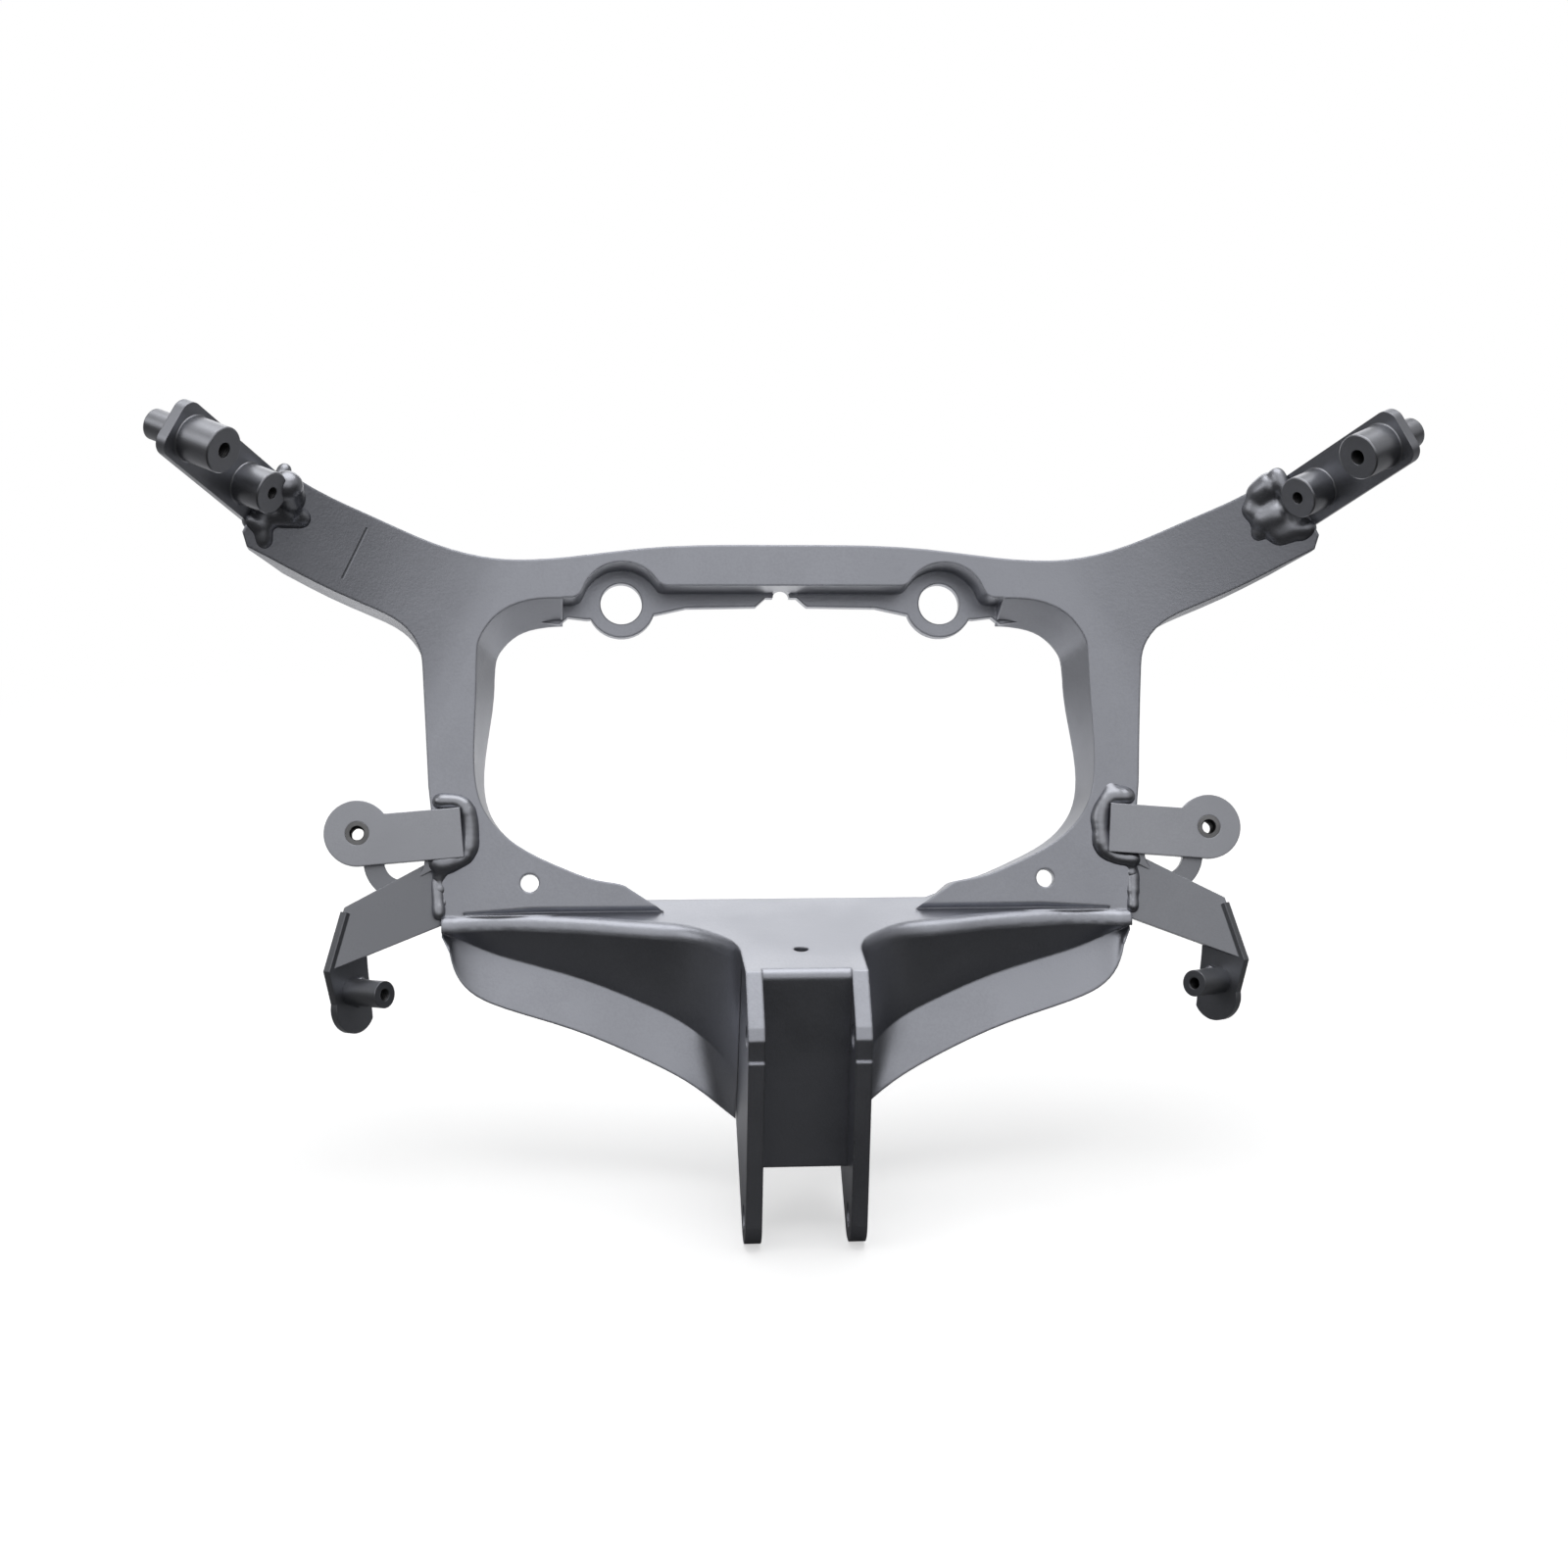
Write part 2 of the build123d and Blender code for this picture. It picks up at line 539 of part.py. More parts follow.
def placed(plane, points):
    return [tuple(plane.from_local_coords(Vector(*point))) for point in points]


casting = frame_casting()
plate = mirror_plate() - casting
outer_boss = boss(0, OUTER_BOSS_DIAMETER, OUTER_BOSS_LENGTH, OUTER_BOSS_HOLE)
inner_boss = boss(BOSS_PITCH, INNER_BOSS_DIAMETER, INNER_BOSS_LENGTH, INNER_BOSS_HOLE) - casting
side_tab = tab() - casting
insert = tab_insert()
bracket = lower_bracket() - casting - side_tab - insert
spacer = standoff() - bracket

arm_path = placed(mirror_plane(), [(x, y, rise - OUTER_BOSS_LENGTH) for x, y, rise in ARM_BEAD])
tab_path = placed(RING_PLANE, [(x, s, TAB_BEAD_HEIGHT) for x, s in TAB_BEAD])
turn_radius = STANDOFF_DIAMETER / 2 + STANDOFF_BEAD_GAP
turns = [(turn_radius * cos(radians(a)), turn_radius * sin(radians(a))) for a in STANDOFF_BEAD_TURNS]
standoff_path = placed(
    foot_plane(), [(STANDOFF_DOWN + x, -STANDOFF_ACROSS + y, STANDOFF_BEAD_HEIGHT) for x, y in turns]
)

pieces = {
    "mirror_plate": plate,
    "outer_boss": outer_boss,
    "inner_boss": inner_boss,
    "locating_peg": peg(),
    "side_tab": side_tab,
    "tab_insert": insert,
    "lower_bracket": bracket,
    "bracket_standoff": spacer,
    "arm_weld": biggest(bead(arm_path, ARM_BEAD_RADIUS) - casting - plate - inner_boss),
    "tab_weld": bead(tab_path, TAB_BEAD_RADIUS) - casting - side_tab - bracket,
    "bracket_weld": biggest(bead(BRACKET_BEAD, BRACKET_BEAD_RADIUS) - casting - bracket),
    "standoff_weld": bead(standoff_path, STANDOFF_BEAD_RADIUS) - bracket - spacer,
}

export_step(casting, "parts/frame_casting.step")
for name, shape in pieces.items():
    print(name, "solids", len(shape.solids()), "valid", shape.is_valid, "volume", round(shape.volume))
    export_step(shape, f"parts/{name}_right.step")
    export_step(mirror(shape, about=Plane.YZ), f"parts/{name}_left.step")
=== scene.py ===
import math

import bpy
from mathutils import Matrix, Vector, noise


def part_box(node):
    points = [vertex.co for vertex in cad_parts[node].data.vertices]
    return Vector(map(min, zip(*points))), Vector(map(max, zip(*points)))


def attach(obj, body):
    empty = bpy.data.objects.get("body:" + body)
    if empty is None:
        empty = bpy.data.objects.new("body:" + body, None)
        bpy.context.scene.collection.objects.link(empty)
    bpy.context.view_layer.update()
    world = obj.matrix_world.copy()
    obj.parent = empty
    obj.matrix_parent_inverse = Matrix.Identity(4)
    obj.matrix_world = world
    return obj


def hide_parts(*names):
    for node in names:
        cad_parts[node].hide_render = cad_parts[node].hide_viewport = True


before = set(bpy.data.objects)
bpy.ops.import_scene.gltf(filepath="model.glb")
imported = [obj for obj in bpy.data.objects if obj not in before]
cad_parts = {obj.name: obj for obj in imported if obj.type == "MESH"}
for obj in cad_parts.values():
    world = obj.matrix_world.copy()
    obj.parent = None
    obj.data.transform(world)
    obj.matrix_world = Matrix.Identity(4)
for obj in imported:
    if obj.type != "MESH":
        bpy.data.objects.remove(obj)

bl_info = {
    "name": "Fairing Stay",
    "version": (1, 0, 0),
    "blender": (4, 5, 0),
    "location": "View3D > Sidebar > Fairing Stay",
    "description": "Finishes, weld beads, threads and a plain studio for a cast motorcycle fairing stay",
    "category": "Object",
}

# Settings are in metres. Every other size is in millimetres unless its comment says metres.
MM = 0.001
BODY = "root"
SIDES = (("right", 1.0), ("left", -1.0))

# The plane of the instrument ring, and the mouth of the side tab's hole in it
RING_ORIGIN = Vector((0.0, 67.05, 20.0))
RING_LEAN = math.radians(22.9)
RING_OUT = Vector((0.0, -math.cos(RING_LEAN), math.sin(RING_LEAN)))
TAB_HOLE = (150.4, 28.8, 3.0)

# The two bosses on the right mirror plate, from the outer boss's face
BOSS_FACE = Vector((187.5, 57.7, 182.7))
BOSS_AXIS = Vector((-0.783, -0.594, -0.185))
PLATE_ALONG = Vector((-0.413, 0.719, -0.559))
BOSS_PITCH = 32.7
OUTER_BOSS_LENGTH = 14.0
OUTER_BOSS_RADIUS = 7.75
INNER_BOSS_RADIUS = 7.25
INNER_BOSS_SET_BACK = 2.0
PLATE_FACE = -OUTER_BOSS_LENGTH

# The folded foot of the right lower bracket, and the standoff on it
FOOT_CORNER = Vector((159.7, 49.3, 6.6))
FOOT_UP = Vector((153.8, 61.2, 25.8))
FOOT_NORMAL = Vector((-0.739, -0.651, 0.176))
FOOT_STEP = 1.2
STANDOFF_X = 3.2
STANDOFF_Y = -12.5
STANDOFF_LENGTH = 16.0


def axes(origin, along, out):
    """A frame as a matrix: x close to along, z exactly out."""
    z = out.normalized()
    x = (along - along.dot(z) * z).normalized()
    y = z.cross(x)
    rows = Matrix((x, y, z)).transposed().to_4x4()
    rows.translation = origin
    return rows


WHOLE = Matrix.Identity(4)
RING = axes(RING_ORIGIN, Vector((1.0, 0.0, 0.0)), RING_OUT)
MIRROR = axes(BOSS_FACE, PLATE_ALONG, BOSS_AXIS)
FOOT = axes(FOOT_CORNER + FOOT_NORMAL.normalized() * FOOT_STEP, FOOT_CORNER - FOOT_UP, FOOT_NORMAL)

# Points along the weld beads of the right side, each bead in the frame that BEADS gives
ARM_BEAD = (
    (44, -12, PLATE_FACE + 2),
    (44, -4, PLATE_FACE + 3),
    (46, 4, PLATE_FACE + 2),
    (48, 11, PLATE_FACE + 1),
)
TAB_BEAD = (
    (122, 40, -0.5),
    (115, 39.5, -0.6),
    (112.2, 35, -0.6),
    (111.6, 28, -0.6),
    (112.8, 21, -0.6),
    (117, 18.4, -0.6),
    (123, 17.6, -0.5),
)
BRACKET_BEAD = ((123.4, 79.0, 36.5), (123.0, 73.0, 28.5), (122.4, 67.2, 20.5))
STANDOFF_BEAD_REACH = 5.1
STANDOFF_BEAD_HEIGHT = 0.5
STANDOFF_BEAD_TURNS = [math.radians(a) for a in (195, 225, 255, 285, 305)]
STANDOFF_BEAD = tuple(
    (
        STANDOFF_X + STANDOFF_BEAD_REACH * math.cos(turn),
        STANDOFF_Y + STANDOFF_BEAD_REACH * math.sin(turn),
        STANDOFF_BEAD_HEIGHT,
    )
    for turn in STANDOFF_BEAD_TURNS
)

# Weld beads: name, setting that holds the radius, frame, points and material slot
BEADS = (
    ("arm_weld", "arm_radius", MIRROR, ARM_BEAD, "weld_paint"),
    ("tab_weld", "tab_radius", RING, TAB_BEAD, "weld_paint"),
    ("bracket_weld", "bracket_radius", WHOLE, BRACKET_BEAD, "weld_paint"),
    ("standoff_weld", "standoff_radius", FOOT, STANDOFF_BEAD, "bracket_paint"),
)

# Drops of weld metal: the grid that they are meshed on, how many make a bead, and how far a drop's
# field reaches for each millimetre of its radius, in a bead and as a lump
DROP_GRID = 0.4
DROPS_PER_BEAD = 16
DROP_IN_BEAD = 1.45
DROP_ALONE = 1.75

# Swelling of the drops along a bead: its share of the radius, the scale of its noise, and the steps
# that the noise moves on from drop to drop and from bead to bead
SWELL = 0.3
SWELL_SCALE = 0.35
SWELL_DROP_STEP = 0.7
SWELL_BEAD_STEP = 1.7

# Lumps of weld metal on top of the beads, listed one by one and different on each side: centre and radius
LUMPS = {
    "arm_weld_left": (
        (-171.6, 91.4, 165.6, 5.4),
        (-170.6, 95.5, 160.6, 4.6),
        (-173.0, 99.6, 154.6, 4.8),
        (-168.6, 101.6, 153.0, 3.6),
        (-177.8, 97.6, 155.4, 4.4),
        (-181.0, 95.6, 150.6, 3.6),
        (-180.7, 95.0, 146.6, 3.2),
        (-184.0, 95.2, 153.5, 3.6),
    ),
    "arm_weld_right": (
        (171.4, 103.2, 165.0, 5.4),
        (167.6, 104.4, 162.0, 4.0),
        (165.6, 104.4, 157.0, 3.6),
        (171.2, 102.6, 153.4, 6.6),
        (175.6, 100.0, 156.0, 5.0),
        (180.4, 96.6, 151.2, 4.6),
        (183.6, 95.0, 152.0, 3.4),
        (175.6, 98.8, 148.6, 4.4),
        (168.2, 101.2, 148.4, 2.6),
    ),
    "tab_weld_left": (
        (-112.6, 82.6, 47.6, 4.4),
        (-112.2, 80.6, 42.4, 4.6),
        (-118.0, 75.8, 38.6, 3.4),
        (-123.0, 75.4, 38.2, 3.0),
        (-122.2, 74.2, 31.9, 2.6),
        (-122.4, 72.6, 27.6, 2.8),
        (-121.4, 70.6, 23.4, 2.4),
    ),
    "tab_weld_right": (
        (116.4, 86.2, 57.6, 4.2),
        (121.0, 85.4, 57.0, 3.2),
        (111.4, 82.6, 49.0, 4.4),
        (112.4, 79.6, 40.6, 4.4),
        (118.0, 77.8, 37.0, 3.6),
        (122.6, 74.0, 31.0, 2.6),
        (122.6, 72.8, 26.2, 2.8),
        (122.2, 70.6, 21.8, 2.4),
    ),
}

# Threaded holes: name, frame at the hole's mouth, radius, depth of thread and material slot
LARGE_HOLE = 2.6
SMALL_HOLE = 2.1
INNER_BOSS_FRAME = MIRROR @ Matrix.Translation((BOSS_PITCH, 0.0, -INNER_BOSS_SET_BACK))
TAB_FRAME = RING @ Matrix.Translation(TAB_HOLE)
STANDOFF_FRAME = FOOT @ Matrix.Translation((STANDOFF_X, STANDOFF_Y, STANDOFF_LENGTH))
THREADS = (
    ("outer_boss_thread", MIRROR, LARGE_HOLE, 11.0, "boss_paint"),
    ("inner_boss_thread", INNER_BOSS_FRAME, SMALL_HOLE, 9.0, "boss_paint"),
    ("tab_thread", TAB_FRAME, LARGE_HOLE, 7.4, "insert_steel"),
    ("standoff_thread", STANDOFF_FRAME, SMALL_HOLE, 11.0, "bracket_paint"),
)

# A thread's ridge: points in a turn, half its width as a share of the pitch, where it starts below
# the mouth, how far its foot is sunk in the wall, and the share of a turn over which it rises
THREAD_STEPS = 28
RIDGE_HALF = 0.42
THREAD_START = 0.35
THREAD_SUNK = 0.02
THREAD_RISE = 0.25

# Seams of paint round the bosses: name, frame on the plate's face and boss radius
SEAMS = (
    ("outer_boss_seam", MIRROR @ Matrix.Translation((0.0, 0.0, PLATE_FACE)), OUTER_BOSS_RADIUS),
    ("inner_boss_seam", MIRROR @ Matrix.Translation((BOSS_PITCH, 0.0, PLATE_FACE)), INNER_BOSS_RADIUS),
)
SEAM_SIZE = 0.7
SEAM_AROUND = 72
SEAM_STEPS = 5
SEAM_SUNK = 0.05
SEAM_BELOW = 0.02

# Ends and half widths of the thin scratched line on the left arm, and how much of its colour turns dark
SCRATCH = (Vector((-146.6, 107.4, 148.4)), Vector((-154.8, 100.6, 132.4)))
SCRATCH_OUTER = 0.6
SCRATCH_CORE = 0.1
SCRATCH_DARKENS = 0.6

BLACK = (0.0, 0.0, 0.0, 1.0)
WHITE = (1.0, 1.0, 1.0, 1.0)
BOSSES = ("outer_boss", "inner_boss", "locating_peg")

# Painted solids: material, its colour setting, shares of the grain's size and depth, what is added
# to the roughness, share of the edge radius, whether it has the scratch, and the nodes' first words
PAINTS = (
    ("casting_paint", "casting_colour", 1.0, 1.0, 0.0, 1.0, True, ("frame_casting",)),
    ("plate_paint", "plate_colour", 0.7, 0.4, -0.03, 0.5, False, ("mirror_plate", "side_tab")),
    ("boss_paint", "boss_colour", 0.6, 0.25, -0.05, 0.35, False, BOSSES),
    # The brackets' darker colour is painted shade
    ("bracket_paint", "bracket_shaded_colour", 0.7, 0.4, 0.0, 0.4, False, ("lower_bracket", "bracket_standoff")),
)

# Paint of the welds and seams: sizes in metres, and how much smoother than the rest
WELD_PAINT = {"grain_size": 0.8 * MM, "grain_depth": 0.06 * MM, "round_edge": 0.7 * MM, "wear": 0.1}
WELD_SMOOTHER = 0.02
SEAM_PAINT = {"grain_size": 0.5 * MM, "grain_depth": 0.02 * MM, "round_edge": 0.1 * MM}
SEAM_SMOOTHER = 0.05
INSERT_ROUGHNESS = 0.38
THREAD_ROUGHNESS = 0.45
# Threads are darker than the insert's steel: painted shade inside the holes
THREAD_PAINTED_SHADE = 0.6

# Most of a noise lies between LOW and HIGH. A tone is a range of noise and the tones at its ends.
BEVEL_SAMPLES = 4
LOW = 0.3
HIGH = 0.7
CLOUD_TONE = (LOW, HIGH, 0.95, 1.03)
STREAK_TONE = (0.25, 0.75, 0.975, 1.02)
GRAIN_TONE = (LOW, HIGH, 0.96, 1.03)

# Satin paint: waves in a metre, the pores' scale as a share of the grain's, the cosines at which an
# edge starts and is full, and how much lighter or darker rubbed and scratched paint is
CLOUD_SCALE = 22.0
STREAK_SCALE = 90.0
PORE_SHARE = 0.35
EDGE_STARTS = 0.995
EDGE_FULL = 0.86
RUB_LOW = 0.35
RUBBED_SHADE = 1.35
SCRATCHED_SHADE = 0.25
GRAIN_HEIGHT = 0.6
PORE_HEIGHT = 0.4
ROUGH_LESS = 0.05
ROUGH_MORE = 0.06
EDGE_SMOOTHER = 0.06
PAINT_METALLIC = 0.85

# Dull steel, in the same terms
STEEL_GRAIN_SCALE = 2500.0
STEEL_CLOUD_SCALE = 120.0
STEEL_DARK = 0.75
STEEL_LIGHT = 1.15
STEEL_ROUGH_SPREAD = 0.07
STEEL_EDGE = 0.25
STEEL_BUMP = 0.6
STEEL_GRAIN_DEPTH = 0.05
STEEL_METALLIC = 0.9

# The floor and the backdrop that it bends up into, in metres
FLOOR_HALF = 12.0
BEND_START = 2.0
BEND_RADIUS = 1.5
BEND_STEPS = 12
BACKDROP_TOP = 5.0
FLOOR_GAP = 0.0002
FLOOR_GRAIN_SCALE = 3.0
FLOOR_SHADE = 0.99
FLOOR_ROUGHNESS = 0.9
FLOOR_GLOW = 0.55

# Where the floor fades to plain white, and where gloss sees it go from the dim room in front to the
# white behind and to the darker sides, in metres
WHITE_FADE = (0.4, 0.9)
FRONT_FADE = (-0.05, 0.35)
SIDE_FADE = (0.0, 0.35)
SIDE_SPREAD = 0.3

# The same for the world, by direction, and the even light from below to above
SKY_TONE = (-0.1, 0.9, 0.05, 1.0)
WORLD_RISE = (0.0, 0.42)
WORLD_BEHIND = (0.0, 0.5)
WORLD_SIDES = (0.3, 0.8)

# Lamps: name, place, what it points at and size, in metres, and the setting that holds its power
LAMPS = (
    ("key_light", (0.05, 0.25, 1.3), (0.0, 0.08, 0.05), 1.5, "key_power"),
    ("side_light", (-1.3, -0.5, 0.9), (0.0, 0.05, 0.05), 0.9, "side_power"),
    ("back_light", (0.1, 1.7, 0.75), (0.0, 0.05, 0.0), 0.9, "back_power"),
)

# The camera, in metres, and its lens and sensor in millimetres
CAMERA_PLACE = (-0.0813, -0.7438, 0.3005)
CAMERA_RIGHT = Vector((0.99573, -0.09029, 0.01941))
CAMERA_UP = Vector((0.00632, 0.27625, 0.96106))
CAMERA_LENS = 56.25
CAMERA_SENSOR = 36.0


class Value:
    """A shader socket whose arithmetic adds the nodes that work it out."""

    def __init__(self, paint, socket):
        self.paint = paint
        self.socket = socket

    def join(self, operation, *others, output=0):
        terms = (self,) + others
        vectors = [t for t in terms if isinstance(t, Value) and t.socket.type in {"VECTOR", "RGBA"}]
        kind = "ShaderNodeVectorMath" if vectors else "ShaderNodeMath"
        return self.paint.node(kind, {"operation": operation}, dict(enumerate(terms)), output)

    def __add__(self, other):
        return self.join("ADD", other)

    __radd__ = __add__

    def __sub__(self, other):
        return self.join("SUBTRACT", other)

    def __rsub__(self, other):
        return (self * -1.0) + other

    def __mul__(self, other):
        return self.join("MULTIPLY", other)

    __rmul__ = __mul__

    def __abs__(self):
        return self.join("ABSOLUTE")

    def at_most(self, other):
        return self.join("MINIMUM", other)

    def at_least(self, other):
        return self.join("MAXIMUM", other)

    def dot(self, other):
        return self.join("DOT_PRODUCT", other, output="Value")

    def length(self):
        return self.join("LENGTH", output="Value")

    def part(self, axis):
        return self.paint.node("ShaderNodeSeparateXYZ", None, {0: self}, axis)


class Paint:
    """Builds one node tree."""

    def __init__(self, tree):
        self.tree = tree
        self.tree.nodes.clear()

    def node(self, kind, settings=None, values=None, output=0):
        """Adds a node: its settings first, then the values or links of its sockets."""
        made = self.tree.nodes.new(kind)
        for name, setting in (settings or {}).items():
            setattr(made, name, setting)
        for name, value in (values or {}).items():
            if isinstance(value, Value):
                self.tree.links.new(value.socket, made.inputs[name])
            else:
                made.inputs[name].default_value = value
        return Value(self, made.outputs[output]) if len(made.outputs) else made

    def place(self):
        return self.node("ShaderNodeTexCoord", output="Object")

    def ray(self, kind):
        return self.node("ShaderNodeLightPath", output=kind)

    def rounded(self, radius):
        return self.node("ShaderNodeBevel", {"samples": BEVEL_SAMPLES}, {"Radius": radius})

    def grain(self, scale, detail=3.0, rough=0.5):
        values = {"Vector": self.place(), "Scale": scale, "Detail": detail, "Roughness": rough}
        return self.node("ShaderNodeTexNoise", None, values)

    def between(self, value, low, high, start=0.0, end=1.0):
        """Goes smoothly from start to end while the value goes from low to high."""
        settings = {"interpolation_type": "SMOOTHSTEP", "clamp": True}
        values = {"Value": value, "From Min": low, "From Max": high, "To Min": start, "To Max": end}
        return self.node("ShaderNodeMapRange", settings, values)

    def blend(self, factor, first, second):
        """Mixes two colours, whose sockets on the Mix node have the numbers 6 and 7 and give 2."""
        return self.node("ShaderNodeMix", {"data_type": "RGBA"}, {0: factor, 6: first, 7: second}, 2)

    def metal(self, body, rough, bump, metallic):
        """Gives the material a metallic surface."""
        values = {"Base Color": body, "Roughness": rough, "Normal": bump, "Metallic": metallic}
        shader = self.node("ShaderNodeBsdfPrincipled", None, values)
        self.node("ShaderNodeOutputMaterial", None, {"Surface": shader})

    def paper(self, colour):
        values = {"Base Color": colour, "Roughness": FLOOR_ROUGHNESS}
        return self.node("ShaderNodeBsdfPrincipled", None, values)

    def shown(self, room):
        """One where the white studio is seen: by the camera, and by gloss as far as room says."""
        camera = self.ray("Is Camera Ray")
        seen = (camera + self.ray("Is Glossy Ray") + self.ray("Is Transmission Ray")).at_most(1.0)
        return seen * (camera * (1.0 - room) + room)


def new_material(name):
    """An empty material and the Paint that fills it."""
    material = bpy.data.materials.new(name)
    material.use_nodes = True
    return material, Paint(material.node_tree)


def shade(values, factor=1.0):
    """A colour times a factor, with its fourth number."""
    return tuple(v * factor for v in values[:3]) + (1.0,)


def satin_paint(name, base, grain_size, grain_depth, roughness, round_edge, wear=0.5, scratched=False):
    """Satin grey paint with fine cast grain, an uneven tone and rubbed edges. Sizes are in metres."""
    material, paint = new_material(name)
    rounded = paint.rounded(round_edge)
    flat = paint.node("ShaderNodeNewGeometry", output="Normal")
    edge = paint.between(rounded.dot(flat), EDGE_STARTS, EDGE_FULL)
    grain = paint.grain(1.0 / grain_size, detail=4.0, rough=0.6)
    pores = paint.grain(PORE_SHARE / grain_size, detail=2.0)
    clouds = paint.grain(CLOUD_SCALE, detail=4.0, rough=0.55)
    streaks = paint.grain(STREAK_SCALE)
    tone = paint.between(clouds, *CLOUD_TONE) * paint.between(streaks, *STREAK_TONE)
    tone = tone * paint.between(grain, *GRAIN_TONE)
    body = paint.blend(tone, BLACK, shade(base))
    rub = edge * paint.between(streaks, RUB_LOW, HIGH) * wear
    body = paint.blend(rub, body, shade(base, RUBBED_SHADE))
    height = grain * GRAIN_HEIGHT + pores * PORE_HEIGHT
    if scratched:
        line = scratch_mask(paint)
        body = paint.blend(line * SCRATCH_DARKENS, body, shade(base, SCRATCHED_SHADE))
        height = height - line
    rough = paint.between(clouds, LOW, HIGH, roughness - ROUGH_LESS, roughness + ROUGH_MORE)
    rough = rough - edge * EDGE_SMOOTHER
    values = {"Strength": 1.0, "Distance": grain_depth, "Height": height, "Normal": rounded}
    bump = paint.node("ShaderNodeBump", None, values)
    paint.metal(body, rough, bump, PAINT_METALLIC)
    return material


def scratch_mask(paint):
    """One inside the thin scratched line, nought outside it."""
    start, end = (point * MM for point in SCRATCH)
    span = end - start
    offset = paint.place() - tuple(start)
    near = offset.dot(span / span.length_squared).at_most(1.0).at_least(0.0)
    foot = paint.node("ShaderNodeVectorMath", {"operation": "SCALE"}, {0: tuple(span), "Scale": near})
    return paint.between((offset - foot).length(), SCRATCH_OUTER * MM, SCRATCH_CORE * MM)


def steel(name, base, roughness):
    """Dull steel with a fine grain and a cloudy tone."""
    material, paint = new_material(name)
    rounded = paint.rounded(STEEL_EDGE * MM)
    grain = paint.grain(STEEL_GRAIN_SCALE)
    clouds = paint.grain(STEEL_CLOUD_SCALE)
    tone = paint.between(clouds, LOW, HIGH)
    body = paint.blend(tone, shade(base, STEEL_DARK), shade(base, STEEL_LIGHT))
    rough = paint.between(grain, LOW, HIGH, roughness - STEEL_ROUGH_SPREAD, roughness + STEEL_ROUGH_SPREAD)
    values = {"Strength": STEEL_BUMP, "Distance": STEEL_GRAIN_DEPTH * MM, "Height": grain, "Normal": rounded}
    bump = paint.node("ShaderNodeBump", None, values)
    paint.metal(body, rough, bump, STEEL_METALLIC)
    return material


def add_mesh(name, points, faces, material):
    """A new smooth mesh piece in millimetres, riding on the fixed body."""
    if not faces:
        raise RuntimeError(f"{name} has no faces")
    mesh = bpy.data.meshes.new(name)
    mesh.from_pydata([tuple(Vector(p) * MM) for p in points], [], faces)
    mesh.polygons.foreach_set("use_smooth", [True] * len(mesh.polygons))
    mesh.materials.append(material)
    mesh.update()
    made = bpy.data.objects.new(name, mesh)
    bpy.context.scene.collection.objects.link(made)
    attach(made, BODY)
    return made


def mirrored(point, sign):
    """The point as it is on the right, or mirrored to the left."""
    return Vector((point[0] * sign, point[1], point[2]))


def both(base, sign):
    """The frame as it is on the right, or mirrored to the left."""
    return Matrix.Diagonal((sign, 1.0, 1.0, 1.0)) @ base


def flipped(faces, sign):
    """The faces with their outside kept outside when they are mirrored."""
    return faces if sign > 0 else [tuple(reversed(face)) for face in faces]


def assign(starts, material):
    """Gives a material to every CAD node whose name starts with one of the words."""
    found = [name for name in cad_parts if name.startswith(starts)]
    if not found:
        raise RuntimeError(f"no node starts with {starts}")
    for name in found:
        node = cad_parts[name]
        node.data.materials.clear()
        node.data.materials.append(material)


def curve_point(before, start, end, after, t):
    """A point between start and end, on the smooth curve that also passes through the other two."""
    slope = (end - before) * t
    square = (2 * before - 5 * start + 4 * end - after) * t * t
    cube = (3 * start - before - 3 * end + after) * t * t * t
    return 0.5 * (2 * start + slope + square + cube)


def smooth_path(points, count):
    """Points spread evenly along a smooth line through the given ones."""
    steps_between = 24
    padded = [2 * points[0] - points[1]] + points + [2 * points[-1] - points[-2]]
    dense = []
    for k in range(1, len(padded) - 2):
        for step in range(steps_between):
            dense.append(curve_point(*padded[k - 1 : k + 3], step / steps_between))
    dense.append(points[-1])
    lengths = [0.0]
    for a, b in zip(dense, dense[1:]):
        lengths.append(lengths[-1] + (b - a).length)
    spread = []
    k = 0
    for step in range(count):
        wanted = lengths[-1] * step / (count - 1)
        while k < len(lengths) - 2 and lengths[k + 1] < wanted:
            k += 1
        share = (wanted - lengths[k]) / (lengths[k + 1] - lengths[k])
        spread.append(dense[k].lerp(dense[k + 1], min(share, 1.0)))
    return spread


def weld_mesh(name, path, radius, lumps, seed):
    """Drops of weld metal that run together along a path and heap up in lumps."""
    drops = bpy.data.metaballs.new(name)
    drops.resolution = drops.render_resolution = DROP_GRID
    for k, centre in enumerate(smooth_path(path, DROPS_PER_BEAD)):
        spot = centre * SWELL_SCALE + Vector((seed, k * SWELL_DROP_STEP, 0.0))
        swell = 1.0 + SWELL * noise.noise(spot)
        drop = drops.elements.new()
        drop.co = centre
        drop.radius = radius * swell * DROP_IN_BEAD
    for x, y, z, lump_radius in lumps:
        drop = drops.elements.new()
        drop.co = (x, y, z)
        drop.radius = lump_radius * DROP_ALONE
    holder = bpy.data.objects.new(name, drops)
    bpy.context.scene.collection.objects.link(holder)
    shaped = holder.evaluated_get(bpy.context.evaluated_depsgraph_get()).to_mesh()
    places = [point.co.copy() for point in shaped.vertices]
    faces = [tuple(face.vertices) for face in shaped.polygons]
    bpy.data.objects.remove(holder)
    bpy.data.metaballs.remove(drops)
    return places, faces


